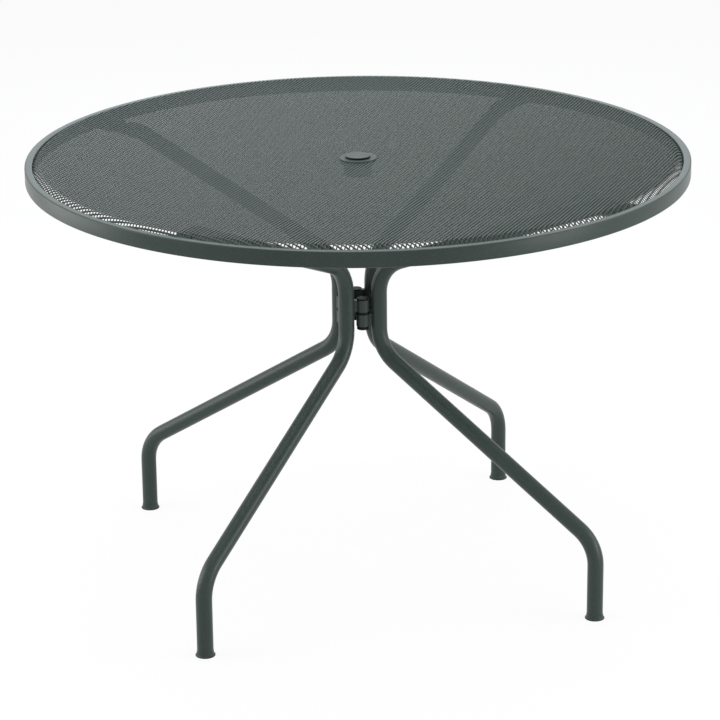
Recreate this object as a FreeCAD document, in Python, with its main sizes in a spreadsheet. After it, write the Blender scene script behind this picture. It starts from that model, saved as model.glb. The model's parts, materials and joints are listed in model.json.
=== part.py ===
# Garden table with an umbrella hole: a dished mesh top in a tubular rim, carried by four bent-tube legs.
# Millimetres, +Z up. The origin is on the floor, below the centre of the top.
import FreeCAD, Part
import math
import os
import re
import Sketcher
from FreeCAD import Placement, Rotation, Vector

# Driving sizes. Each has its own cell in the sheet, and everything below is tied to these cells.
SIZES = {
    # Top
    "top_height": 762.0,
    "top_radius": 575.0,
    "rim_width": 13.5,
    "rim_depth": 27.0,
    "rim_wall": 1.5,
    "rim_edge": 1.6,
    "drain_radius": 2.5,
    "mesh_rise": 5.0,
    "mesh_dish": 11.5,
    "mesh_turndown": 7.0,
    "mesh_tuck": 4.0,
    "mesh_thickness": 1.5,
    "mesh_border": 12.0,
    "gap_long": 144.0,
    "gap_short": 104.0,
    "strand_width": 12.0,
    # Legs
    "tube_radius": 14.0,
    "tube_wall": 2.0,
    "bend_radius": 70.0,
    "foot_inset": 93.0,
    "foot_corner": 137.0,
    "hub_spread": 41.5,
    "waist_low": 414.0,
    "arm_drop": 22.5,
    "arm_rise": 174.8,
    "arm_run": 17.5,
    "end_gap": 2.0,
    "flat_length": 46.0,
    "flare_length": 20.0,
    "flat_height": 10.0,
    "foot_bore": 60.0,
    # Foot glides
    "glide_height": 9.0,
    "glide_radius": 17.0,
    "glide_shoulder": 14.3,
    "glide_lip": 1.2,
    "glide_bell": 0.8,
    "glide_plug": 24.0,
    "plug_taper": 2.0,
    "plug_gap": 0.2,
    # Hub
    "hub_level": 483.1,
    "stack_spread": 29.0,
    "knuckle_radius": 11.5,
    "knuckle_height": 21.5,
    "lug_thickness": 8.0,
    "washer_height": 5.2,
    "bolt_radius": 4.0,
    "bolt_gap": 0.3,
    "head_radius": 6.5,
    "head_height": 5.0,
    "hub_nut_flats": 13.0,
    "hub_nut_height": 5.0,
    "disc_inset": 1.1,
    "top_cap_height": 2.5,
    "base_cap_height": 6.0,
    # Fixing of the arms to the rim
    "tab_width": 34.0,
    "tab_length": 44.0,
    "tab_thickness": 4.0,
    "tab_corner": 8.0,
    "screw_inset": 22.0,
    "screw_radius": 3.0,
    "screw_gap": 0.3,
    "screw_head_radius": 5.5,
    "screw_head_height": 3.5,
    "arm_nut_flats": 10.0,
    "arm_nut_height": 5.0,
    # Umbrella ring and its cap
    "flange_radius": 32.5,
    "flange_thickness": 1.5,
    "flange_gap": 0.1,
    "collar_radius": 24.5,
    "collar_depth": 30.0,
    "collar_gap": 0.3,
    "pole_bore": 17.4,
    "cap_bore": 21.0,
    "cap_bore_depth": 13.0,
    "ring_nut_radius": 31.0,
    "ring_nut_height": 6.0,
    "cap_radius": 22.3,
    "cap_height": 3.8,
    "cap_standoff": 2.4,
    "cap_edge": 0.5,
    "skirt_gap": 0.3,
    "skirt_wall": 2.2,
    "seat_gap": 0.3,
}

# Levels and radii that follow from the driving sizes.
RIM_INNER = "(top_radius - rim_width)"
RIM_BOTTOM = "(top_height - rim_depth)"
# The mesh is lowest round the umbrella hole, rises to its brim and is turned down inside the rim.
MESH_BRIM = "(top_height + mesh_rise)"
BRIM_RADIUS = f"({RIM_INNER} - mesh_turndown)"
MESH_TOP = f"({MESH_BRIM} - mesh_dish)"
MESH_BOTTOM = f"({MESH_TOP} - mesh_thickness)"
FOOT_SPREAD = "(top_radius - foot_inset)"
ARM_LEVEL = "(top_height - arm_drop)"
WAIST_HIGH = f"({ARM_LEVEL} - arm_rise)"
ARM_END = f"({RIM_INNER} - end_gap)"
FLAT_START = f"({ARM_END} - flat_length)"
FLARE_START = f"({FLAT_START} - flare_length)"
ARM_CORNER = f"({FLARE_START} - arm_run)"
# Pressing a round tube flat keeps its girth, so the width follows from the height.
FLAT_HALF_WIDTH = "(flat_height/2 + pi*(2*tube_radius - flat_height)/4)"
TAB_BOTTOM = f"({ARM_LEVEL} + flat_height/2)"
SCREW_SPREAD = f"({RIM_INNER} - screw_inset)"
KNUCKLE_LOW = "(hub_level - washer_height/2 - knuckle_height)"
KNUCKLE_HIGH = "(hub_level + washer_height/2)"
STACK_TOP = f"({KNUCKLE_HIGH} + knuckle_height)"
LUG_LINE = "(hub_spread*cos(45))"
FLANGE_SEAT = f"({MESH_TOP} + flange_gap)"
FLANGE_TOP = f"({FLANGE_SEAT} + flange_thickness)"
SKIRT_RADIUS = "(cap_bore - skirt_gap)"

# The cross-section of a tube is drawn in eight arcs or runs, so that the round and the flat end match.
ROUND_TOP_ANGLE = 40.0
ROUND_SIDE_ANGLE = 4.0
FLAT_SIDE_ROUNDING = 0.9

LEG_ANGLES = [45.0, 135.0, 225.0, 315.0]
STACK_ANGLES = [0.0, 90.0, 180.0, 270.0]

doc = FreeCAD.newDocument("umbrella_table")
sheet = doc.addObject("Spreadsheet::Sheet", "Sizes")
for row, (alias, number) in enumerate(SIZES.items(), start=1):
    sheet.set(f"A{row}", alias)
    sheet.set(f"B{row}", str(number))
    sheet.setAlias(f"B{row}", alias)
doc.recompute()

nodes = []


def tied(text):
    """The same expression with each size read from its cell. Every size's name has an underscore."""
    return re.sub(r"\b([a-z]+(?:_[a-z]+)+)\b", r"Sizes.\1", text)


def value(text):
    return float(sheet.evalExpression(text))


def turned(angle, x="0", z="0"):
    """Placement at radius x and height z, turned about the table's vertical axis."""
    turn = Rotation(Vector(0, 0, 1), angle)
    return Placement(turn.multVec(Vector(value(x), 0, value(z))), turn)


def new_body(label):
    body = doc.addObject("PartDesign::Body", label)
    body.Label = label
    nodes.append(body)
    return body


def new_sketch(body, name, role, offset=None):
    """Sketch on one of the body's own origin planes, or at a distance from it."""
    sketch = body.newObject("Sketcher::SketchObject", name)
    plane = next(item for item in body.Origin.OriginFeatures if item.Role == role)
    sketch.AttachmentSupport = [(plane, "")]
    sketch.MapMode = "FlatFace"
    if offset:
        sketch.setExpression(".AttachmentOffset.Base.z", tied(offset))
    return sketch


def measure(sketch, kind, text, *where):
    index = sketch.addConstraint(Sketcher.Constraint(kind, *where, value(text)))
    sketch.setExpression(f"Constraints[{index}]", tied(text))


def pin_point(sketch, item, end, x, y):
    """Hold a point at x, y from the sketch's origin."""
    for kind, text, axis in (("DistanceX", x, -2), ("DistanceY", y, -1)):
        if text == "0":
            sketch.addConstraint(Sketcher.Constraint("PointOnObject", item, end, axis))
        else:
            measure(sketch, kind, text, -1, 1, item, end)


def round_corner(sketch, before, corner, after, x, y, radius):
    """Arc tangent to both sides of a corner, with the sharp corner kept as a pinned point."""
    size = value(radius)
    back = (before - corner).normalize()
    ahead = (after - corner).normalize()
    half = back.getAngle(ahead) / 2
    start = corner + back * (size / math.tan(half))
    finish = corner + ahead * (size / math.tan(half))
    centre = corner + (back + ahead).normalize() * (size / math.sin(half))
    turns_left = back.cross(ahead).z < 0
    low, high = (start, finish) if turns_left else (finish, start)
    angles = [math.atan2(point.y - centre.y, point.x - centre.x) for point in (low, high)]
    circle = Part.Circle(centre, Vector(0, 0, 1), size)
    arc = sketch.addGeometry(Part.ArcOfCircle(circle, *angles), False)
    mark = sketch.addGeometry(Part.Point(corner), True)
    pin_point(sketch, mark, 1, x, y)
    measure(sketch, "Radius", radius, arc)
    ends = (1, 2) if turns_left else (2, 1)
    return start, finish, arc, mark, ends


def draw_outline(sketch, corners, closed=True):
    """Straight runs from corner to corner. A corner is x, y and, if it is rounded, its radius."""
    count = len(corners)
    points = [Vector(value(corner[0]), value(corner[1]), 0) for corner in corners]
    arcs = {}
    for index, corner in enumerate(corners):
        if len(corner) == 3:
            before = points[index - 1]
            after = points[(index + 1) % count]
            arcs[index] = round_corner(sketch, before, points[index], after, *corner)
    lines = []
    for index in range(count if closed else count - 1):
        following = (index + 1) % count
        begin = arcs[index][1] if index in arcs else points[index]
        end = arcs[following][0] if following in arcs else points[following]
        lines.append(sketch.addGeometry(Part.LineSegment(begin, end), False))
    for index, line in enumerate(lines):
        following = (index + 1) % count
        for corner, end in ((index, 1), (following, 2)):
            if corner in arcs:
                _, _, arc, mark, ends = arcs[corner]
                touch = ends[1] if end == 1 else ends[0]
                sketch.addConstraint(Sketcher.Constraint("Tangent", line, end, arc, touch))
                sketch.addConstraint(Sketcher.Constraint("PointOnObject", mark, 1, line))
            elif end == 1:
                pin_point(sketch, line, 1, corners[corner][0], corners[corner][1])
            elif corner < len(lines):
                sketch.addConstraint(Sketcher.Constraint("Coincident", line, 2, lines[corner], 1))
            else:
                pin_point(sketch, line, 2, corners[corner][0], corners[corner][1])


def draw_circle(sketch, x, y, radius):
    circle = Part.Circle(Vector(value(x), value(y), 0), Vector(0, 0, 1), value(radius))
    item = sketch.addGeometry(circle, False)
    pin_point(sketch, item, 3, x, y)
    measure(sketch, "Radius", radius, item)


def draw_round_section(sketch, level, radius):
    """Circle in eight arcs: wide ones above and below, short ones at the sides, four between them."""
    top = ROUND_TOP_ANGLE
    side = ROUND_SIDE_ANGLE
    marks = [-side, side, 90 - top, 90 + top, 180 - side, 180 + side, 270 - top, 270 + top, 360 - side]
    circle = Part.Circle(Vector(0, value(level), 0), Vector(0, 0, 1), value(radius))
    arcs = []
    for begin, end in zip(marks, marks[1:]):
        piece = Part.ArcOfCircle(circle, math.radians(begin), math.radians(end))
        arcs.append(sketch.addGeometry(piece, False))
    pin_point(sketch, arcs[0], 3, "0", level)
    measure(sketch, "Radius", radius, arcs[0])
    for index, arc in enumerate(arcs):
        following = arcs[(index + 1) % len(arcs)]
        height = f"{level} + {radius}*sin({marks[index + 1]})"
        sketch.addConstraint(Sketcher.Constraint("Coincident", arc, 2, following, 1))
        if following == arcs[0]:
            sketch.addConstraint(Sketcher.Constraint("Equal", arc, arcs[0]))
        elif index:
            sketch.addConstraint(Sketcher.Constraint("Coincident", arc, 3, arcs[0], 3))
        measure(sketch, "DistanceY", height, -1, 1, arc, 2)


def draw_flat_section(sketch, level, half_width, half_height):
    rounding = f"{half_height}*{FLAT_SIDE_ROUNDING}"
    low = f"{level} - {half_height}"
    high = f"{level} + {half_height}"
    corners = [(f"-{half_width}", low), (half_width, low), (half_width, high), (f"-{half_width}", high)]
    draw_outline(sketch, [(*corner, rounding) for corner in corners])


def add_feature(body, kind, name, profile, **options):
    """Feature on a profile. Text options are tied to the sheet, other options are set as they are."""
    doc.recompute()
    feature = body.newObject(f"PartDesign::{kind}", name)
    feature.Profile = profile
    for option, setting in options.items():
        if isinstance(setting, str) and option != "Type":
            feature.setExpression(option, tied(setting))
        else:
            setattr(feature, option, setting)
    body.Tip = feature
    doc.recompute()
    return feature


def turned_body(label, *outlines):
    """Body of revolution about its own vertical axis. Further outlines are its hollows."""
    body = new_body(label)
    sketch = new_sketch(body, f"{label}_profile", "XZ_Plane")
    for corners in outlines:
        draw_outline(sketch, corners)
    add_feature(body, "Revolution", f"{label}_turned", sketch, ReferenceAxis=(sketch, ["V_Axis"]), Angle=360.0)
    return body


def primitive(kind, name, **options):
    item = doc.addObject(f"Part::{kind}", name)
    for option, setting in options.items():
        if isinstance(setting, str):
            item.setExpression(option, tied(setting))
        else:
            setattr(item, option, setting)
    return item


def cylinder(name, radius, low, height):
    item = primitive("Cylinder", name, Radius=radius, Height=height)
    item.setExpression(".Placement.Base.z", tied(low))
    return item


def cut(name, base, tool):
    item = doc.addObject("Part::Cut", name)
    item.Base = base
    item.Tool = tool
    return item


def fuse(name, *shapes):
    item = doc.addObject("Part::MultiFuse", name)
    item.Shapes = list(shapes)
    return item


def group_node(label, make_piece, angles, spread):
    """Identical pieces, one at each angle round the table, kept in one node as separate solids."""
    pieces = []
    for number, angle in enumerate(angles, start=1):
        piece = make_piece(f"{label}_{number}")
        piece.Placement = turned(angle, spread)
        pieces.append(piece)
    group = doc.addObject("Part::Compound", label)
    group.Label = label
    group.Links = pieces
    nodes.append(group)


def make_rim():
    """Rectangular tube rolled into a ring, with its wall closed at the weld and drained from below."""
    outer = [
        (RIM_INNER, RIM_BOTTOM),
        ("top_radius", RIM_BOTTOM),
        ("top_radius", "top_height - rim_edge"),
        ("top_radius - rim_edge", "top_height"),
        (f"{RIM_INNER} + rim_edge", "top_height"),
        (RIM_INNER, "top_height - rim_edge"),
    ]
    hollow = [
        (f"{RIM_INNER} + rim_wall", f"{RIM_BOTTOM} + rim_wall"),
        ("top_radius - rim_wall", f"{RIM_BOTTOM} + rim_wall"),
        ("top_radius - rim_wall", "top_height - rim_wall"),
        (f"{RIM_INNER} + rim_wall", "top_height - rim_wall"),
    ]
    rim = turned_body("rim_ring", outer, hollow)
    drain = new_sketch(rim, "drain_hole", "XY_Plane", RIM_BOTTOM)
    draw_circle(drain, "top_radius - rim_width/2", "0", "drain_radius")
    hole = add_feature(rim, "Pocket", "drain", drain, Length="rim_wall", Reversed=True)
    pattern = rim.newObject("PartDesign::PolarPattern", "drains")
    pattern.Originals = [hole]
    pattern.Axis = (drain, ["N_Axis"])
    pattern.Occurrences = len(STACK_ANGLES)
    rim.Tip = pattern


def mesh_sheet():
    """Dish between two balls, and its brim turned down to the rim in a ring of the same thickness."""
    brim_radius = value(BRIM_RADIUS)
    rim_radius = value(RIM_INNER)
    brim = value(MESH_BRIM)
    low = value(MESH_TOP)
    tuck = value("top_height - mesh_tuck")
    thickness = value("mesh_thickness")
    slope = math.atan2(brim - tuck, rim_radius - brim_radius)
    ball_radius = (brim_radius ** 2 + (brim - low) ** 2) / (2 * (brim - low))
    # The balls' poles lie on a level line, so that the sheet is clear of them and of their seams.
    level = Vector(1, 0, 0)
    over = Part.makeSphere(ball_radius, Vector(0, 0, low + ball_radius), level)
    under = Part.makeSphere(ball_radius, Vector(0, 0, low + ball_radius - thickness), level)
    disc = Part.makeCylinder(brim_radius, brim - low + 2 * thickness, Vector(0, 0, low - 2 * thickness))
    dish = disc.common(under).cut(over)
    # The underside runs parallel to the top, so its bend lies a little further in.
    bend_radius = brim_radius - thickness * math.tan(slope / 2)
    bend = low + ball_radius - thickness - math.sqrt(ball_radius ** 2 - bend_radius ** 2)
    corners = [
        Vector(brim_radius, 0, brim),
        Vector(rim_radius, 0, tuck),
        Vector(rim_radius, 0, tuck - thickness / math.cos(slope)),
        Vector(bend_radius, 0, bend),
    ]
    section = Part.Face(Part.makePolygon([*corners, corners[0]]))
    turndown = section.revolve(Vector(0, 0, 0), Vector(0, 0, 1), 360)
    return dish.fuse(turndown).removeSplitter()


def make_mesh_panel():
    """Dished sheet with diamond gaps, turned down inside the rim and pierced for the umbrella ring."""
    pitch_x = value("gap_long")
    pitch_y = value("gap_short")
    reach = value(BRIM_RADIUS) - value("mesh_border")
    # A strand of the set width on both sides of each diamond leaves these half diagonals.
    slant = math.hypot(pitch_x, pitch_y) / 2
    half_x = pitch_x / 2 - value("strand_width") * slant / pitch_y
    half_y = half_x * pitch_y / pitch_x
    columns = math.ceil(2 * reach / pitch_x)
    rows = math.ceil(2 * reach / pitch_y)
    below = value(MESH_BOTTOM) - 1
    depth = value(MESH_BRIM) + 1 - below
    tools = [Part.makeCylinder(value("collar_radius + collar_gap"), depth, Vector(0, 0, below))]
    for row in range(-rows, rows + 1):
        for column in range(-columns, columns + 1):
            if (row + column) % 2:
                continue
            x = column * pitch_x / 2
            y = row * pitch_y / 2
            tips = [(x + half_x, y), (x, y + half_y), (x - half_x, y), (x, y - half_y)]
            outermost = max(math.hypot(*tip) for tip in tips)
            innermost = math.hypot(max(abs(x) - half_x, 0), max(abs(y) - half_y, 0))
            if outermost < reach and innermost > value("flange_radius"):
                corners = [Vector(*tip, below) for tip in tips]
                outline = Part.Face(Part.makePolygon([*corners, corners[0]]))
                tools.append(outline.extrude(Vector(0, 0, depth)))
    panel = doc.addObject("Part::Feature", "mesh_panel")
    panel.Label = "mesh_panel"
    panel.Shape = mesh_sheet().cut(Part.makeCompound(tools))
    nodes.append(panel)
    print("gaps in the mesh panel:", len(tools) - 1)


def make_leg(number, angle):
    """One bent tube from the foot to the rim, pressed flat at its upper end and bored for its screw."""
    leg = new_body(f"leg_tube_{number}")
    path = new_sketch(leg, f"leg_path_{number}", "XZ_Plane")
    route = [
        (FOOT_SPREAD, "glide_height"),
        (FOOT_SPREAD, "foot_corner", "bend_radius"),
        ("hub_spread", "waist_low", "bend_radius"),
        ("hub_spread", WAIST_HIGH, "bend_radius"),
        (ARM_CORNER, ARM_LEVEL, "bend_radius"),
        (FLARE_START, ARM_LEVEL),
    ]
    draw_outline(path, route, closed=False)
    section = new_sketch(leg, f"foot_section_{number}", "XY_Plane", "glide_height")
    draw_circle(section, FOOT_SPREAD, "0", "tube_radius")
    add_feature(leg, "AdditivePipe", f"bent_tube_{number}", section, Spine=(path, [""]))
    round_end = new_sketch(leg, f"round_end_{number}", "YZ_Plane", FLARE_START)
    draw_round_section(round_end, ARM_LEVEL, "tube_radius")
    flat_end = new_sketch(leg, f"flat_end_{number}", "YZ_Plane", FLAT_START)
    draw_flat_section(flat_end, ARM_LEVEL, FLAT_HALF_WIDTH, "(flat_height/2)")
    add_feature(leg, "AdditiveLoft", f"flare_{number}", round_end, Sections=[flat_end], Ruled=True)
    add_feature(leg, "Pad", f"flat_{number}", flat_end, Length="flat_length")
    inside = new_sketch(leg, f"flat_inside_{number}", "YZ_Plane", ARM_END)
    half_width = f"({FLAT_HALF_WIDTH} - tube_wall)"
    draw_flat_section(inside, ARM_LEVEL, half_width, "(flat_height/2 - tube_wall)")
    add_feature(leg, "Pocket", f"open_end_{number}", inside, Length="flat_length")
    bore = new_sketch(leg, f"foot_bore_{number}", "XY_Plane", "glide_height")
    draw_circle(bore, FOOT_SPREAD, "0", "tube_radius - tube_wall")
    add_feature(leg, "Pocket", f"open_foot_{number}", bore, Length="foot_bore", Reversed=True)
    screw = new_sketch(leg, f"screw_hole_{number}", "XY_Plane", f"{ARM_LEVEL} + flat_height/2")
    draw_circle(screw, SCREW_SPREAD, "0", "screw_radius + screw_gap")
    add_feature(leg, "Pocket", f"screw_way_{number}", screw, Length="flat_height")
    leg.Placement = turned(angle)


def make_glide(number, angle):
    """Moulded foot: a bell-shaped base under the tube's end and a plug that grips inside it."""
    plug = "tube_radius - tube_wall - plug_gap"
    corners = [
        ("0", "0"),
        ("glide_radius", "0"),
        ("glide_radius", "glide_lip"),
        ("glide_shoulder + glide_bell", "glide_height/3"),
        ("glide_shoulder", "glide_height"),
        (plug, "glide_height"),
        (plug, "glide_height + glide_plug - plug_taper"),
        (f"{plug} - plug_taper", "glide_height + glide_plug"),
        ("0", "glide_height + glide_plug"),
    ]
    glide = turned_body(f"foot_glide_{number}", corners)
    glide.Placement = turned(angle, FOOT_SPREAD)


def make_knuckle(label, angle, low, side, head_pocket):
    """Sleeve of one bolt stack, with the lug that joins it to the leg on one side of the stack."""
    knuckle = new_body(label)
    sleeve = new_sketch(knuckle, f"{label}_sleeve", "XY_Plane", low)
    draw_circle(sleeve, "stack_spread", "0", "knuckle_radius")
    add_feature(knuckle, "Pad", f"{label}_barrel", sleeve, Length="knuckle_height")
    lug = new_sketch(knuckle, f"{label}_lug", "XY_Plane", low)
    inner = f"{LUG_LINE} - lug_thickness/2"
    outer = f"{LUG_LINE} + lug_thickness/2"
    draw_outline(lug, [(inner, "0"), (outer, "0"), (outer, f"{side}*{LUG_LINE}"), (inner, f"{side}*{LUG_LINE}")])
    add_feature(knuckle, "Pad", f"{label}_arm", lug, Length="knuckle_height")
    seat = new_sketch(knuckle, f"{label}_seat", "XY_Plane", low)
    draw_circle(seat, LUG_LINE, f"{side}*{LUG_LINE}", "tube_radius")
    add_feature(knuckle, "Pocket", f"{label}_coped", seat, Length="knuckle_height", Reversed=True)
    bore = new_sketch(knuckle, f"{label}_bore", "XY_Plane", low)
    draw_circle(bore, "stack_spread", "0", "bolt_radius + bolt_gap")
    add_feature(knuckle, "Pocket", f"{label}_bored", bore, Length="knuckle_height", Reversed=True)
    if head_pocket:
        recess = new_sketch(knuckle, f"{label}_recess", "XY_Plane", f"{low} + knuckle_height")
        draw_circle(recess, "stack_spread", "0", "head_radius + bolt_gap")
        add_feature(knuckle, "Pocket", f"{label}_sunk", recess, Length="head_height")
    knuckle.Placement = turned(angle)


def make_bolt(name):
    """Hub bolt: its head lies sunk in the upper knuckle, its end is flush with the nut."""
    seat = f"{STACK_TOP} - head_height"
    tip = f"{KNUCKLE_LOW} - hub_nut_height"
    head = cylinder(f"{name}_head", "head_radius", seat, "head_height")
    shank = cylinder(f"{name}_shank", "bolt_radius", tip, f"{seat} - ({tip})")
    return fuse(name, head, shank)


def make_hex_nut(name, flats, height, low, bore):
    prism = primitive("Prism", f"{name}_hex", Polygon=6, Circumradius=f"{flats}/2/cos(30)", Height=height)
    prism.setExpression(".Placement.Base.z", tied(low))
    return cut(name, prism, cylinder(f"{name}_bore", bore, low, height))


def make_hub_nut(name):
    low = f"{KNUCKLE_LOW} - hub_nut_height"
    return make_hex_nut(name, "hub_nut_flats", "hub_nut_height", low, "bolt_radius + bolt_gap/2")


def make_washer(name):
    low = "hub_level - washer_height/2"
    ring = cylinder(f"{name}_disc", "knuckle_radius", low, "washer_height")
    return cut(name, ring, cylinder(f"{name}_hole", "bolt_radius + bolt_gap", low, "washer_height"))


def make_top_cap(name):
    return cylinder(name, "knuckle_radius - disc_inset", STACK_TOP, "top_cap_height")


def make_base_cap(name):
    """Cup pushed over the nut, its rim against the lower knuckle."""
    low = f"{KNUCKLE_LOW} - base_cap_height"
    outside = cylinder(f"{name}_cup", "knuckle_radius - disc_inset", low, "base_cap_height")
    room = "hub_nut_height + bolt_gap"
    inside = cylinder(f"{name}_room", "hub_nut_flats/2/cos(30) + bolt_gap", f"{KNUCKLE_LOW} - ({room})", room)
    return cut(name, outside, inside)


def make_tab(number, angle):
    """Plate welded to the inside of the rim, over the flat end of an arm."""
    tab = new_body(f"rim_tab_{number}")
    plate = new_sketch(tab, f"tab_outline_{number}", "XY_Plane", TAB_BOTTOM)
    inner = f"({RIM_INNER} - tab_length)"
    corners = [
        (inner, "-tab_width/2", "tab_corner"),
        (RIM_INNER, "-tab_width/2"),
        (RIM_INNER, "tab_width/2"),
        (inner, "tab_width/2", "tab_corner"),
    ]
    draw_outline(plate, corners)
    add_feature(tab, "Pad", f"tab_plate_{number}", plate, Length="tab_thickness")
    weld = new_sketch(tab, f"tab_weld_edge_{number}", "XY_Plane", TAB_BOTTOM)
    draw_circle(weld, "0", "0", RIM_INNER)
    draw_circle(weld, "0", "0", "top_radius")
    add_feature(tab, "Pocket", f"tab_rolled_edge_{number}", weld, Length="tab_thickness", Reversed=True)
    hole = new_sketch(tab, f"tab_hole_{number}", "XY_Plane", TAB_BOTTOM)
    draw_circle(hole, SCREW_SPREAD, "0", "screw_radius + screw_gap")
    add_feature(tab, "Pocket", f"tab_drilled_{number}", hole, Length="tab_thickness", Reversed=True)
    tab.Placement = turned(angle)


def make_arm_screw(name):
    """Screw from below through the flat end and the tab, up to the top of its nut."""
    seat = f"{ARM_LEVEL} - flat_height/2"
    head = cylinder(f"{name}_head", "screw_head_radius", f"{seat} - screw_head_height", "screw_head_height")
    length = "flat_height + tab_thickness + arm_nut_height"
    return fuse(name, head, cylinder(f"{name}_shank", "screw_radius", seat, length))


def make_arm_nut(name):
    low = f"{TAB_BOTTOM} + tab_thickness"
    return make_hex_nut(name, "arm_nut_flats", "arm_nut_height", low, "screw_radius + screw_gap/2")


def make_umbrella_ring():
    """Moulded ring: a thin flange on the mesh and a collar that guides the pole below it."""
    corners = [
        ("pole_bore", f"{FLANGE_TOP} - collar_depth"),
        ("collar_radius", f"{FLANGE_TOP} - collar_depth"),
        ("collar_radius", FLANGE_SEAT),
        ("flange_radius", FLANGE_SEAT),
        ("flange_radius - flange_thickness/2", FLANGE_TOP),
        ("cap_bore", FLANGE_TOP),
        ("cap_bore", f"{FLANGE_TOP} - cap_bore_depth"),
        ("pole_bore", f"{FLANGE_TOP} - cap_bore_depth"),
    ]
    turned_body("umbrella_ring", corners)


def make_ring_nut():
    """Nut that clamps the mesh against the flange from below."""
    corners = [
        ("collar_radius + collar_gap", f"{MESH_BOTTOM} - ring_nut_height"),
        ("ring_nut_radius", f"{MESH_BOTTOM} - ring_nut_height"),
        ("ring_nut_radius", MESH_BOTTOM),
        ("collar_radius + collar_gap", MESH_BOTTOM),
    ]
    turned_body("ring_nut", corners)


def make_hole_cap():
    """Cap that lifts out of the umbrella ring: a thin disc held clear of the flange by its hollow skirt."""
    skirt_bottom = f"{FLANGE_TOP} - cap_bore_depth + seat_gap"
    skirt_inside = f"{SKIRT_RADIUS} - skirt_wall"
    corners = [
        ("0", FLANGE_TOP),
        (skirt_inside, FLANGE_TOP),
        (skirt_inside, skirt_bottom),
        (SKIRT_RADIUS, skirt_bottom),
        (SKIRT_RADIUS, f"{FLANGE_TOP} + cap_standoff"),
        ("cap_radius", f"{FLANGE_TOP} + cap_standoff"),
        ("cap_radius", f"{FLANGE_TOP} + cap_height - cap_edge"),
        ("cap_radius - cap_edge", f"{FLANGE_TOP} + cap_height"),
        ("0", f"{FLANGE_TOP} + cap_height"),
    ]
    turned_body("hole_cap", corners)


make_rim()
make_mesh_panel()
for number, angle in enumerate(LEG_ANGLES, start=1):
    make_leg(number, angle)
    make_glide(number, angle)
    make_tab(number, angle)
for number, angle in enumerate(STACK_ANGLES, start=1):
    # The leg before each stack holds its upper knuckle, and the leg after it the lower one.
    make_knuckle(f"upper_knuckle_{number}", angle, KNUCKLE_HIGH, "-1", True)
    make_knuckle(f"lower_knuckle_{number}", angle, KNUCKLE_LOW, "1", False)
group_node("hub_bolts", make_bolt, STACK_ANGLES, "stack_spread")
group_node("hub_nuts", make_hub_nut, STACK_ANGLES, "stack_spread")
group_node("hub_washers", make_washer, STACK_ANGLES, "stack_spread")
group_node("hub_top_caps", make_top_cap, STACK_ANGLES, "stack_spread")
group_node("hub_base_caps", make_base_cap, STACK_ANGLES, "stack_spread")
group_node("arm_screws", make_arm_screw, LEG_ANGLES, SCREW_SPREAD)
group_node("arm_nuts", make_arm_nut, LEG_ANGLES, SCREW_SPREAD)
make_umbrella_ring()
make_ring_nut()
make_hole_cap()

doc.recompute()
for item in doc.Objects:
    if "Invalid" in item.State or "Error" in item.State:
        raise RuntimeError(f"{item.Label} failed: {item.State}")
for node in nodes:
    if node.Shape.isNull() or not node.Shape.isValid():
        raise RuntimeError(f"{node.Label} has no valid shape")

os.makedirs("parts", exist_ok=True)
for node in nodes:
    node.Shape.exportStep(f"parts/{node.Label}.step")
    print(f"{node.Label}: {len(node.Shape.Solids)} solid, {node.Shape.Volume / 1000:.2f} cm3")
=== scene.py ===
# %% [markdown]
# # A round garden table with a mesh top
#
# The table has four bent steel tubes that meet at a bolted hub, a tubular rim and a dished sheet
# of expanded mesh whose brim is turned down inside the rim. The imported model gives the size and
# place of every solid, so this script only adds what a photograph shows and a plain solid lacks:
# the fine mesh, soft rounded edges, weld beads, and the look of powder coat, plastic and plated
# steel. Everything is in metres, with +Z up and the floor at zero.

# %% Load the frame
import json
import math

import bmesh
import bpy
from mathutils import Matrix, Vector


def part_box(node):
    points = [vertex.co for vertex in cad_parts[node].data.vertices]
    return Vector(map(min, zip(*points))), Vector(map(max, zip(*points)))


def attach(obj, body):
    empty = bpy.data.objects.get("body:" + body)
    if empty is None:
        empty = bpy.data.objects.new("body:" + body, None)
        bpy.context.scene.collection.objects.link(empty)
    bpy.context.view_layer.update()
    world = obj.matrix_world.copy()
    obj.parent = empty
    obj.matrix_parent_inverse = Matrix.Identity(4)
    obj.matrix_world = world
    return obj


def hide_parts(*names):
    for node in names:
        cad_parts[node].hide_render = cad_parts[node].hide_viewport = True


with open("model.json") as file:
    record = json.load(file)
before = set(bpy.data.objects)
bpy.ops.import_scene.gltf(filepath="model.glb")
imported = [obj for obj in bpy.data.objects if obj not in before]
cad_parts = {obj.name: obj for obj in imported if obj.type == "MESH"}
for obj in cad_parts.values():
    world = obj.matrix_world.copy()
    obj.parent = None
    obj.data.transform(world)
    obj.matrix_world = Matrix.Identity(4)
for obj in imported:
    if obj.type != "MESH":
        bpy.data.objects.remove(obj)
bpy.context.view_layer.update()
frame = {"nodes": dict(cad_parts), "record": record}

MM = 0.001
TURN = math.tau
LEGS = 4

# %% [markdown]
# ## Reading sizes from the solids
#
# A piece made here has to sit on what carries it, so its sizes come from the boxes of the solids.
# The rim gives the outer radius and the levels of its top and bottom. The mesh panel gives the
# inner radius, because the panel ends at the rim's inner wall, and the levels of its own brim and
# of its lowest point, round the umbrella ring. The ring's flange hides the inner edge of the mesh,
# which ends at three quarters of the flange's radius.

# %% Sizes of the top
COLLAR_SHARE = 0.75

rim_low, rim_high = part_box("rim_ring")
panel_low, panel_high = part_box("mesh_panel")
ring_low, ring_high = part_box("umbrella_ring")

rim_radius = rim_high.x
rim_wall = panel_high.x
collar_radius = COLLAR_SHARE * ring_high.x
print("rim radius", round(rim_radius, 4), "inner wall", round(rim_wall, 4))
print("rim levels", round(rim_low.z, 4), round(rim_high.z, 4), "panel", round(panel_low.z, 4))

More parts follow.
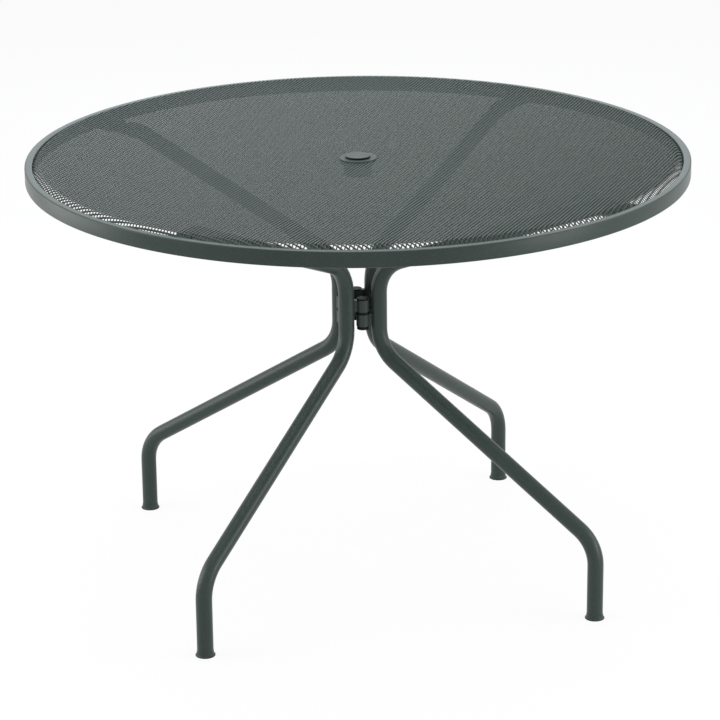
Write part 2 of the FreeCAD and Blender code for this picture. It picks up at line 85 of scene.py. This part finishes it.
# %% [markdown]
# ## Shader maths that reads as Python
#
# A material's pattern is a sum: some large tone, some fine grain, a few bright flecks. In the node
# editor each plus sign is a Math node. The two small classes below let the script write
# `0.4 + 0.1 * grain` and add those nodes itself. `Signal` wraps an output socket and knows the
# operators. `Finish` owns one material and makes any other node through a single method.


# %% Shader helpers
class Signal:
    """An output socket that can be added, multiplied and compared."""

    def __init__(self, finish, socket):
        self.finish = finish
        self.socket = socket

    def math(self, operation, first, second):
        return self.finish.node("Math", {"operation": operation}, {0: first, 1: second})

    def __add__(self, other):
        return self.math("ADD", self, other)

    def __mul__(self, other):
        return self.math("MULTIPLY", self, other)

    def __gt__(self, other):
        return self.math("GREATER_THAN", self, other)

    __radd__ = __add__
    __rmul__ = __mul__


class Finish:
    """One material. Uniform values go straight on the Principled shader's own sockets."""

    def __init__(self, name, **uniform):
        self.material = bpy.data.materials.new(name)
        self.material.use_nodes = True
        self.tree = self.material.node_tree
        self.shader = self.tree.nodes["Principled BSDF"]
        self.connect(**uniform)

    def node(self, kind, settings, inputs, output=0):
        node = self.tree.nodes.new("ShaderNode" + kind)
        for name, setting in settings.items():
            setattr(node, name, setting)
        for socket, value in inputs.items():
            self.feed(node.inputs[socket], value)
        return Signal(self, node.outputs[output])

    def feed(self, socket, value):
        if isinstance(value, Signal):
            self.tree.links.new(value.socket, socket)
        elif isinstance(value, tuple) and socket.type == "RGBA":
            socket.default_value = (*value, 1.0)
        else:
            socket.default_value = value

    def connect(self, **sockets):
        for socket, value in sockets.items():
            self.feed(self.shader.inputs[socket.replace("_", " ")], value)

    def noise(self, size, detail):
        """Soft lumps about `size` metres across, from 0 to 1."""
        place = self.node("TexCoord", {}, {}, "Object")
        inputs = {"Vector": place, "Scale": 1 / size, "Detail": detail}
        return self.node("TexNoise", {}, inputs)

    def specks(self, size):
        """One random value for each cell of about `size` metres."""
        place = self.node("TexCoord", {}, {}, "Object")
        cells = self.node("TexVoronoi", {}, {"Vector": place, "Scale": 1 / size}, "Color")
        return self.node("SeparateColor", {}, {"Color": cells})

    def height(self):
        """Height above the floor, because every solid's origin lies at the frame's origin."""
        place = self.node("TexCoord", {}, {}, "Object")
        return self.node("SeparateXYZ", {}, {"Vector": place}, "Z")

    def blend(self, mask, low, high):
        """The colour low where the mask is 0, and the colour high where it is 1."""
        return self.node("Mix", {"data_type": "RGBA"}, {0: mask, 6: low, 7: high}, 2)

    def bump(self, height, depth):
        return self.node("Bump", {}, {"Height": height, "Distance": depth})


# %% [markdown]
# ## Powder coat
#
# The steel is sprayed with dry powder and baked. The skin that results is a dark grey-green, satin
# rather than glossy, slightly pebbled like orange peel, and full of very small pale grains. Three
# layers make it: a slow change of tone over hand-sized areas, a pebbled height a millimetre or so
# across that feeds the bump, and sparse pale grains that lift the colour where a random value
# passes a limit.

# %% Powder coat
COAT_DARK = (0.022, 0.036, 0.031)
COAT_PALE = (0.032, 0.049, 0.043)
COAT_GRAIN = (0.30, 0.33, 0.32)
COAT_SHINE = 0.27
CLOUD_SIZE = 120 * MM
PEEL_SIZE = 1.4 * MM
PEEL_DEPTH = 0.015 * MM
GRAIN_SIZE = 0.6 * MM
GRAIN_LIMIT = 0.93
GRAIN_SHOW = 0.1


def make_powder_coat(name, dark, pale):
    finish = Finish(name, Specular_IOR_Level=COAT_SHINE)
    cloud = finish.noise(CLOUD_SIZE, 3.0)
    peel = finish.noise(PEEL_SIZE, 2.0)
    grain = finish.specks(GRAIN_SIZE)
    skin = finish.blend(0.7 * cloud + 0.3 * peel, dark, pale)
    finish.connect(Base_Color=finish.blend(GRAIN_SHOW * (grain > GRAIN_LIMIT), skin, COAT_GRAIN))
    finish.connect(Roughness=0.26 + 0.10 * peel + 0.06 * cloud)
    finish.connect(Normal=finish.bump(peel + 0.25 * grain, PEEL_DEPTH))
    return finish.material


powder_coat = make_powder_coat("powder_coat_steel", COAT_DARK, COAT_PALE)
print("made", powder_coat.name, "with", len(powder_coat.node_tree.nodes), "nodes")

# %% [markdown]
# ## Moulded plastic
#
# The foot glides, the hub's washers and caps and the umbrella ring come out of a mould. Such a part
# has one colour all through, a faint matt texture that the mould's wall left, and slightly
# smoother patches where hands and weather have rubbed it. So the noise goes mostly to roughness
# and bump, and hardly to the colour. The glides are moulded in the colour of the legs and stand on
# a black sole. The cap is grey, and all of it below its top face is painted black as shade: the
# shadow in the gap under its lip. So those two change colour at a level.

# %% Plastics
# Black plastic, painted darker than such plastic is: partly its own black, partly painted shade of
# the hub's shadowed interior.
SHADED_BLACK_DARK = (0.003, 0.004, 0.004)
SHADED_BLACK_PALE = (0.007, 0.008, 0.008)
GREY_DARK = (0.034, 0.044, 0.042)
GREY_PALE = (0.050, 0.062, 0.060)
MOULD_GRAIN = 0.5 * MM
MOULD_DEPTH = 0.02 * MM
RUBBED_SIZE = 14 * MM
GLIDE_SOLE = 1.2 * MM
CAP_FACE = 0.3 * MM

cap_low, cap_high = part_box("hole_cap")
# Below this level, just under its top face, the cap is painted black as shade of the gap under its
# lip.
cap_painted_shade_level = cap_high.z - CAP_FACE


def make_plastic(name, dark, pale, shine, gloss, black_sole_or_painted_shade_below=None):
    """A moulding's finish. Where a level is given, all that lies below it is black.
    On the glides that is their own black sole, on the cap it is painted shade under its lip.
    """
    finish = Finish(name, Specular_IOR_Level=shine)
    rubbed = finish.noise(RUBBED_SIZE, 4.0)
    texture = finish.noise(MOULD_GRAIN, 1.0)
    colour = finish.blend(0.8 * rubbed + 0.2 * texture, dark, pale)
    if black_sole_or_painted_shade_below is not None:
        colour = finish.blend(finish.height() > black_sole_or_painted_shade_below, SHADED_BLACK_DARK, colour)
    finish.connect(Base_Color=colour)
    finish.connect(Roughness=gloss + 0.18 * rubbed + 0.08 * texture)
    finish.connect(Normal=finish.bump(texture, MOULD_DEPTH))
    return finish.material


# The hub's black parts are painted darker than black plastic, as shade of the hub's interior.
black_plastic = make_plastic("black_plastic", SHADED_BLACK_DARK, SHADED_BLACK_PALE, shine=0.1, gloss=0.38)
grey_plastic = make_plastic("grey_plastic", GREY_DARK, GREY_PALE, shine=0.3, gloss=0.40)
glide_plastic = make_plastic(
    "glide_plastic", COAT_DARK, COAT_PALE, shine=0.3, gloss=0.30, black_sole_or_painted_shade_below=GLIDE_SOLE
)
# The cap's black below its top face is painted shade, the dark gap under its lip.
cap_plastic_painted_shade = make_plastic(
    "cap_plastic_painted_shade", GREY_DARK, GREY_PALE, shine=0.3, gloss=0.40, black_sole_or_painted_shade_below=cap_painted_shade_level
)
print("made", ", ".join(p.name for p in (black_plastic, grey_plastic, glide_plastic, cap_plastic_painted_shade)))

# %% [markdown]
# ## Zinc-plated steel
#
# Bolts and nuts are zinc plated: bright grey metal, cloudy where the crystals differ, with a
# duller, slightly yellow bloom in places. Metallic is 1, and the clouds vary the roughness most,
# because on a metal the gloss shows more than the colour.

# %% Plated steel
ZINC_DULL = (0.36, 0.35, 0.32)
ZINC_BRIGHT = (0.56, 0.57, 0.57)
ZINC_CLOUD = 3 * MM
ZINC_CRYSTAL = 0.8 * MM
ZINC_DEPTH = 0.03 * MM


def make_plated_steel(name):
    finish = Finish(name, Metallic=1.0)
    cloud = finish.noise(ZINC_CLOUD, 5.0)
    crystal = finish.specks(ZINC_CRYSTAL)
    finish.connect(Base_Color=finish.blend(cloud, ZINC_DULL, ZINC_BRIGHT))
    finish.connect(Roughness=0.26 + 0.2 * cloud + 0.08 * crystal)
    finish.connect(Normal=finish.bump(cloud, ZINC_DEPTH))
    return finish.material


plated_steel = make_plated_steel("plated_steel")
print("made", plated_steel.name)

# %% [markdown]
# ## Dressing the solids
#
# The tubes, knuckles, caps and fasteners already have the right shape, so they stay and only take a
# finer material. The imported record says which slot each of them belongs to. The glides have two
# colours, and the cap has painted shade below its top face, so they take a finish of their own.

# %% Give each solid its finish
FINISHES = {
    "powder_coat": powder_coat,
    "black_plastic": black_plastic,
    "grey_plastic": grey_plastic,
    "plated_steel": plated_steel,
}

# The cap's finish carries painted shade below its top face; the glides' black sole is their own
# colour.
TWO_TONE_AND_PAINTED_SHADE = {"hole_cap": cap_plastic_painted_shade}
for number in range(1, LEGS + 1):
    TWO_TONE_AND_PAINTED_SHADE[f"foot_glide_{number}"] = glide_plastic

for part in frame["record"]["subparts"]:
    solid = frame["nodes"][part["node"]]
    finish = TWO_TONE_AND_PAINTED_SHADE.get(part["node"], FINISHES[part["material_slot"]])
    for place in solid.material_slots:
        place.material = finish
print("dressed", len(frame["nodes"]), "solids")


# %% [markdown]
# ## From bmesh to a finished piece
#
# Every new piece ends the same way: its mesh becomes an object at the origin, gets its material,
# and is told which body it moves with, and the solids it stands for are hidden. One helper does that.


# %% Finish a piece
def finish_piece(name, mesh, slot, smooth_angle=None, stands_for=()):
    data = bpy.data.meshes.new(name)
    mesh.to_mesh(data)
    mesh.free()
    data.materials.append(FINISHES[slot])
    if smooth_angle is not None:
        data.shade_smooth()
        data.set_sharp_from_angle(angle=smooth_angle)
    piece = bpy.data.objects.new(name, data)
    bpy.context.scene.collection.objects.link(piece)
    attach(piece, "table")
    for node in stands_for:
        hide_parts(node)
    print(name, len(data.polygons), "faces")
    return piece


# %% [markdown]
# ## The rim
#
# The rim is a rectangular steel tube rolled into a circle, 13.5 mm wide and 27 mm high. Cold-drawn
# tube never has sharp corners, and the light that runs along its rounded edges is what makes the
# rim read as metal. One flat rectangle with its four corners bevelled is spun round the middle of
# the table, so a single section gives the whole ring. The full spin merges its ends, which leaves
# no seam.

# %% Spin the rim
RIM_CORNER = 2.2 * MM
CORNER_STEPS = 6
RIM_STEPS = 360
RIM_EDGE = math.radians(40)


def section(width, height, radius, level):
    """A flat rectangle standing in the XZ plane, centred at that radius and level."""
    mesh = bmesh.new()
    bmesh.ops.create_grid(mesh, x_segments=1, y_segments=1, size=0.5)
    stand = Matrix.Rotation(math.radians(90), 4, "X")
    place = Matrix.Translation((radius, 0, level))
    grow = Matrix.Diagonal((width, height, 1, 1))
    bmesh.ops.transform(mesh, matrix=place @ stand @ grow, verts=mesh.verts)
    return mesh


def round_corners(mesh, size, segments):
    bmesh.ops.bevel(
        mesh,
        geom=mesh.verts[:],
        offset=size,
        offset_type="OFFSET",
        segments=segments,
        profile=0.5,
        affect="VERTICES",
        material=-1,
    )


def spin_outline(mesh, steps):
    """Spins the outline of the only face right round the table and closes the ring."""
    bmesh.ops.delete(mesh, geom=mesh.faces[:], context="FACES_ONLY")
    outline = mesh.verts[:] + mesh.edges[:]
    bmesh.ops.spin(
        mesh,
        geom=outline,
        cent=(0, 0, 0),
        axis=(0, 0, 1),
        angle=TURN,
        steps=steps,
        use_merge=True,
    )
    bmesh.ops.recalc_face_normals(mesh, faces=mesh.faces[:])


rim_width = rim_radius - rim_wall
rim_height = rim_high.z - rim_low.z
rim_middle = (rim_radius + rim_wall) / 2
rim = section(rim_width, rim_height, rim_middle, (rim_high.z + rim_low.z) / 2)
round_corners(rim, RIM_CORNER, CORNER_STEPS)
spin_outline(rim, RIM_STEPS)

# %% [markdown]
# Rain gets into a hollow rim, so four holes in its flat underside let it out again. Each is cut by
# opening one face of the underside, putting a circle in its place and bridging the two loops. The
# circle is then pushed up by the thickness of the wall, so the hole shows its edge.

# %% Drain the rim
DRAINS = 4
DRAIN_RADIUS = 2.5 * MM
DRAIN_SIDES = 16
RIM_SKIN = 1.5 * MM


def drain(mesh, direction):
    target = rim_middle * direction + Vector((0, 0, rim_low.z))
    face = min(mesh.faces, key=lambda candidate: (candidate.calc_center_median() - target).length)
    place = Matrix.Translation(face.calc_center_median())
    border = face.edges[:]
    bmesh.ops.delete(mesh, geom=[face], context="FACES_ONLY")
    circle = bmesh.ops.create_circle(mesh, segments=DRAIN_SIDES, radius=DRAIN_RADIUS, matrix=place)
    loop = list({edge for vertex in circle["verts"] for edge in vertex.link_edges})
    bmesh.ops.bridge_loops(mesh, edges=border + loop)
    wall = bmesh.ops.extrude_edge_only(mesh, edges=loop)["geom"]
    raised = [item for item in wall if isinstance(item, bmesh.types.BMVert)]
    bmesh.ops.translate(mesh, verts=raised, vec=(0, 0, RIM_SKIN))


for hole in range(DRAINS):
    drain(rim, Matrix.Rotation(hole * TURN / DRAINS, 3, "Z") @ Vector((1, 0, 0)))
bmesh.ops.recalc_face_normals(rim, faces=rim.faces[:])
finish_piece("rim_tube", rim, "powder_coat", RIM_EDGE, ["rim_ring"])

# %% [markdown]
# ## The mesh
#
# Expanded mesh starts as a solid sheet. It is slit in staggered rows and pulled apart, so every
# slit opens into a diamond and no metal is wasted. Thousands of identical diamonds could be an
# image or a bump, but seen at a low angle the strands hide what is behind them and the gaps let
# the light floor through, and only real holes do that.
#
# A square grid gives the diamonds: turned by an eighth of a turn, its squares stand on their
# corners, and scaled unevenly they take the pitch of the mesh. Insetting each square on its own
# leaves a frame of even width, the strands, round a face that is then deleted. The outermost
# diamonds run a little way into the rim's wall, where nothing of them shows.

# %% Pitch of the mesh
SHORT_PITCH = 7.84 * MM
LONG_PITCH = 10.0 * MM
STRAND_WIDTH = 2.1 * MM
BORDER_STRAND_WIDTH = 2.7 * MM
STRAND_THICKNESS = 1.55 * MM
STRAND_TILT = 0.45 * MM
MESH_TURN = math.radians(5)
TURN_DOWN = 10 * MM
UNDER_RIM = 2 * MM


def diamond_grid(reach):
    """Diamonds of the mesh's pitch that cover a circle of that radius, one face each."""
    across = reach * math.hypot(1 / SHORT_PITCH, 1 / LONG_PITCH)
    steps = 2 * math.ceil(across)
    mesh = bmesh.new()
    bmesh.ops.create_grid(mesh, x_segments=steps, y_segments=steps, size=steps / 2)
    stand = Matrix.Rotation(math.radians(45), 4, "Z")
    side = math.sqrt(2)
    stretch = Matrix.Diagonal((SHORT_PITCH / side, LONG_PITCH / side, 1, 1))
    turn = Matrix.Rotation(MESH_TURN, 4, "Z")
    bmesh.ops.transform(mesh, matrix=turn @ stretch @ stand, verts=mesh.verts)
    return mesh


def keep_faces(mesh, wanted):
    """Deletes every face whose centre isn't wanted."""
    spare = [face for face in mesh.faces if not wanted(face.calc_center_median())]
    bmesh.ops.delete(mesh, geom=spare, context="FACES")


diamonds = diamond_grid(rim_wall + UNDER_RIM)
keep_faces(diamonds, lambda centre: collar_radius < centre.length < rim_wall + UNDER_RIM)
print("diamonds", len(diamonds.faces))

# %% [markdown]
# Pulling the sheet apart also twists its strands, so each one leans: its edge towards one end of
# the diamond stands higher than the other. That lean is what catches the light, so the inner
# corners of each diamond are lifted or lowered before the strands get their thickness. Where the
# sheet is turned down at its brim it has also been squeezed, which leaves wider strands there.

# %% Open the diamonds and twist the strands
brim_radius = rim_wall - TURN_DOWN
lean_direction = Matrix.Rotation(MESH_TURN, 3, "Z") @ Vector((1, 0, 0))
openings = diamonds.faces[:]
field = [face for face in openings if face.calc_center_median().length < brim_radius]
border = [face for face in openings if face.calc_center_median().length >= brim_radius]
bmesh.ops.inset_individual(diamonds, faces=field, thickness=STRAND_WIDTH / 2, depth=0)
bmesh.ops.inset_individual(diamonds, faces=border, thickness=BORDER_STRAND_WIDTH / 2, depth=0)
for opening in openings:
    centre = opening.calc_center_median()
    for corner in opening.verts:
        share = (corner.co - centre).dot(lean_direction) / (SHORT_PITCH / 2)
        corner.co.z += STRAND_TILT * share
bmesh.ops.delete(diamonds, geom=openings, context="FACES_ONLY")
print("strand faces", len(diamonds.faces))

# %% [markdown]
# The sheet isn't flat. It is pressed into a shallow dish that is lowest round the umbrella hole,
# so that it stays taut and sheds water there, and its brim is turned down inside the rim. The
# whole sheet is too heavy for one piece, so it is cut into four quarters. Each takes the faces of
# its own quarter, gets the thickness of the strands and is then raised to the sheet's level.

# %% Dish and quarter the mesh
SHEET = 1.5 * MM
TURN_DROP = 9 * MM
TURN_SLOPE = TURN_DROP / TURN_DOWN
BEND = 2.5 * MM

brim_level = panel_high.z
dish_level = panel_low.z + SHEET


def sheet_level(radius):
    """Height of the sheet's top: a parabola up to the brim, then an eased slope down to the rim."""
    level = dish_level + (brim_level - dish_level) * (min(radius, brim_radius) / brim_radius) ** 2
    past = radius - brim_radius + BEND
    if past <= 0:
        return level
    if past < 2 * BEND:
        return level - TURN_SLOPE * past ** 2 / (4 * BEND)
    return level - TURN_SLOPE * (past - BEND)


def quarter(mesh, side_x, side_y):
    part = mesh.copy()
    keep_faces(part, lambda centre: centre.x * side_x >= 0 and centre.y * side_y >= 0)
    bmesh.ops.solidify(part, geom=part.faces[:], thickness=STRAND_THICKNESS)
    highest = max(vertex.co.z for vertex in part.verts)
    for vertex in part.verts:
        vertex.co.z += sheet_level(vertex.co.xy.length) - highest
    bmesh.ops.recalc_face_normals(part, faces=part.faces[:])
    return part


QUARTERS = [(1, 1), (-1, 1), (-1, -1), (1, -1)]
for number, (side_x, side_y) in enumerate(QUARTERS, start=1):
    strands = quarter(diamonds, side_x, side_y)
    finish_piece(f"mesh_quarter_{number}", strands, "powder_coat", None, ["mesh_panel"])
diamonds.free()

# %% [markdown]
# ## Weld beads
#
# The frame is welded by hand before it is coated. A bead is a row of overlapping drops of metal,
# a little flattened where they have sunk into the steel. There is one along each face of a hub lug
# where it meets its tube, one along the top of each tab where it meets the rim, and a tack every
# seven centimetres or so where the mesh's turned edge meets the rim.

# %% Drops of metal
BEAD_RADIUS = 1.5 * MM
BEAD_STEP = 2.2 * MM
TACK_RADIUS = 2.0 * MM
DROP_SHAPE = (0.8, 1.1, 0.9, 1.0)
DROP_SIDES = 8
DROP_RINGS = 6
BEAD_EDGE = math.radians(60)


def add_drop(mesh, centre, radius, turn):
    place = Matrix.Translation(centre) @ turn @ Matrix.Diagonal(DROP_SHAPE)
    bmesh.ops.create_uvsphere(
        mesh, u_segments=DROP_SIDES, v_segments=DROP_RINGS, radius=radius, matrix=place
    )


def add_bead(mesh, start, end, radius):
    steps = round((end - start).length / BEAD_STEP)
    turn = (end - start).to_track_quat("Y", "Z").to_matrix().to_4x4()
    for step in range(steps + 1):
        add_drop(mesh, start.lerp(end, step / steps), radius, turn)


# %% [markdown]
# A lug is a flat plate that runs from its barrel to the middle of a tube, so it meets the tube one
# tube radius short of that. The upper barrel of each stack hangs on the leg before it and the lower
# one on the leg after it. Mirroring the first set of beads in the plane of the stack gives the other.

# %% Welds of the hub
LUG_THICKNESS = 8 * MM
TUBE_RADIUS = 14 * MM
KNUCKLE_RADIUS = 11.5 * MM
SINK = 0.6 * MM

hub_welds = bmesh.new()
for stack in range(LEGS):
    stack_turn = Matrix.Rotation(stack * TURN / LEGS, 3, "Z")
    for node, side in (("upper_knuckle_1", -1), ("lower_knuckle_1", 1)):
        low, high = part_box(node)
        lug_line = high.x - KNUCKLE_RADIUS
        reach = side * (lug_line - TUBE_RADIUS + SINK)
        for face in (-LUG_THICKNESS / 2, LUG_THICKNESS / 2):
            bottom = Vector((lug_line + face, reach, low.z + BEAD_RADIUS))
            top = Vector((lug_line + face, reach, high.z - BEAD_RADIUS))
            add_bead(hub_welds, stack_turn @ bottom, stack_turn @ top, BEAD_RADIUS)
finish_piece("hub_welds", hub_welds, "powder_coat", BEAD_EDGE)

# %% [markdown]
# The four tabs stand under the arms, halfway between the bolt stacks. Their beads and the tacks of
# the mesh sit on the rim's inner wall, sunk into it a little, and the tacks are spread evenly.

# %% Welds of the rim
TACKS = 48
TAB_HALF_WIDTH = 17 * MM

tab_low, tab_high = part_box("rim_tab_1")
rim_welds = bmesh.new()
for leg in range(LEGS):
    leg_turn = Matrix.Rotation((leg + 0.5) * TURN / LEGS, 3, "Z")
    left = Vector((rim_wall - SINK, -TAB_HALF_WIDTH + BEAD_RADIUS, tab_high.z))
    right = Vector((rim_wall - SINK, TAB_HALF_WIDTH - BEAD_RADIUS, tab_high.z))
    add_bead(rim_welds, leg_turn @ left, leg_turn @ right, BEAD_RADIUS)
for tack in range(TACKS):
    tack_turn = Matrix.Rotation((tack + 0.5) * TURN / TACKS, 3, "Z")
    centre = tack_turn @ Vector((rim_wall - SINK, 0, sheet_level(rim_wall) - SHEET))
    add_drop(rim_welds, centre, TACK_RADIUS, tack_turn.to_4x4())
finish_piece("rim_welds", rim_welds, "powder_coat", BEAD_EDGE)

# %% [markdown]
# ## Camera
#
# The photograph was taken from about five metres away with a long lens, a little above the table.
# The legs stand at an eighth of a turn between the table's axes, and the camera stands slightly to
# one side of them. The camera starts looking straight down, so it is turned up by its pitch, then
# round the table, with a slight roll.

# %% Place the camera
CAMERA_DISTANCE = 5.2342
CAMERA_HEIGHT_ANGLE = math.radians(19.03)
CAMERA_PITCH = math.radians(19.19)
CAMERA_ROLL = math.radians(-0.62)
CAMERA_ROUND = math.radians(-11.45)
CAMERA_LENS = 147.56
SENSOR_WIDTH = 36.0
AIM_LEVEL = 0.400

camera_data = bpy.data.cameras.new("camera")
camera_data.lens = CAMERA_LENS
camera_data.sensor_width = SENSOR_WIDTH
camera = bpy.data.objects.new("camera", camera_data)
bpy.context.scene.collection.objects.link(camera)
round_table = Matrix.Rotation(CAMERA_ROUND, 4, "Z")
back = -CAMERA_DISTANCE * math.cos(CAMERA_HEIGHT_ANGLE)
rise = AIM_LEVEL + CAMERA_DISTANCE * math.sin(CAMERA_HEIGHT_ANGLE)
tilt = Matrix.Rotation(math.radians(90) - CAMERA_PITCH, 4, "X")
roll = Matrix.Rotation(CAMERA_ROLL, 4, "Z")
camera.matrix_world = round_table @ Matrix.Translation((0, back, rise)) @ tilt @ roll
bpy.context.scene.camera = camera
print("camera at", [round(c, 3) for c in camera.location])

# %% [markdown]
# ## Floor and background
#
# The photograph's background is plain white. The floor is a large pale plane that still takes the
# table's shadow. Seen by the camera, most of its colour is plain white emission, and a share of
# real diffuse shading keeps the shadow.

# %% Floor
FLOOR_SIZE = 60
FLOOR_COLOUR = (0.88, 0.88, 0.88)
FLOOR_WHITE = 0.90
WHITE = (1.0, 1.0, 1.0)


def make_floor_finish():
    finish = Finish("pale_floor", Roughness=0.9)
    finish.connect(Base_Color=FLOOR_COLOUR)
    straight = finish.node("LightPath", {}, {}, "Is Camera Ray")
    mirrored = finish.node("LightPath", {}, {}, "Is Glossy Ray")
    passed = finish.node("LightPath", {}, {}, "Is Transmission Ray")
    seen = straight + mirrored + passed
    glow = finish.node("Emission", {}, {"Color": WHITE, "Strength": 1.0})
    plain = Signal(finish, finish.shader.outputs[0])
    mix = finish.node("MixShader", {}, {0: FLOOR_WHITE * seen, 1: plain, 2: glow})
    output = finish.tree.nodes["Material Output"]
    finish.feed(output.inputs["Surface"], mix)
    return finish.material


ground = bmesh.new()
bmesh.ops.create_grid(ground, x_segments=1, y_segments=1, size=FLOOR_SIZE / 2)
floor_data = bpy.data.meshes.new("floor")
ground.to_mesh(floor_data)
ground.free()
floor_data.materials.append(make_floor_finish())
floor = bpy.data.objects.new("floor", floor_data)
bpy.context.scene.collection.objects.link(floor)
print("floor", FLOOR_SIZE, "m wide")

# %% [markdown]
# The world is white to the camera and to reflections, and softer as a source of light.

# %% World
WORLD_LIGHT = 0.55


def make_world():
    world = bpy.data.worlds.new("studio")
    world.use_nodes = True
    tree = world.node_tree
    shade = tree.nodes["Background"]
    shade.inputs["Color"].default_value = (*WHITE, 1.0)
    rays = tree.nodes.new("ShaderNodeLightPath")
    seen = tree.nodes.new("ShaderNodeMath")
    seen.operation = "MAXIMUM"
    strength = tree.nodes.new("ShaderNodeMapRange")
    strength.inputs["To Min"].default_value = WORLD_LIGHT
    strength.inputs["To Max"].default_value = 1.0
    tree.links.new(rays.outputs["Is Camera Ray"], seen.inputs[0])
    tree.links.new(rays.outputs["Is Glossy Ray"], seen.inputs[1])
    tree.links.new(seen.outputs[0], strength.inputs["Value"])
    tree.links.new(strength.outputs["Result"], shade.inputs["Strength"])
    return world


bpy.context.scene.world = make_world()
print("world light", WORLD_LIGHT)

# %% [markdown]
# ## Studio light
#
# The photograph has soft light from both sides and from above, so the tubes have a broad pale
# streak along the top and dark undersides, and the shadow on the floor is faint. Large area lamps
# do that: the larger the lamp, the softer the edge of its streak and its shadow. The lamp at the
# back is a little bluish and its reflection brightens the tops of the mesh strands. The two low
# lamps light the left and right thirds of the rim's wall and leave its middle dark. Each lamp is
# given as its place, its width in metres, its power in watts and its colour. They keep their places
# relative to the camera, so they turn round the table with it.

# %% Lamps
COOL = (0.80, 0.92, 1.0)
LAMPS = {
    "overhead": ((0.0, 0.3, 3.2), 2.4, 55, WHITE),
    "back": ((0.0, 3.6, 2.0), 2.6, 19, COOL),
    "left_side": ((-3.0, -0.8, 1.9), 2.0, 35, WHITE),
    "right_side": ((3.0, -0.4, 1.7), 2.0, 30, WHITE),
    "left_low": ((-2.5, 0.4, 0.5), 1.6, 20, WHITE),
    "right_low": ((2.3, -1.3, 0.5), 1.2, 16, WHITE),
}
AIM_POINT = Vector((0, 0, 0.5))

for name, (place, size, power, colour) in LAMPS.items():
    lamp_data = bpy.data.lights.new(name, "AREA")
    lamp_data.shape = "SQUARE"
    lamp_data.size = size
    lamp_data.energy = power
    lamp_data.color = colour
    lamp = bpy.data.objects.new(name, lamp_data)
    bpy.context.scene.collection.objects.link(lamp)
    facing = (AIM_POINT - Vector(place)).to_track_quat("-Z", "Y").to_matrix().to_4x4()
    lamp.matrix_world = round_table @ Matrix.Translation(place) @ facing
print("lamps", ", ".join(LAMPS))

# %% [markdown]
# ## Plain colours
#
# The Standard view shows each colour as it is written.

# %% Finish
bpy.context.scene.view_settings.view_transform = "Standard"
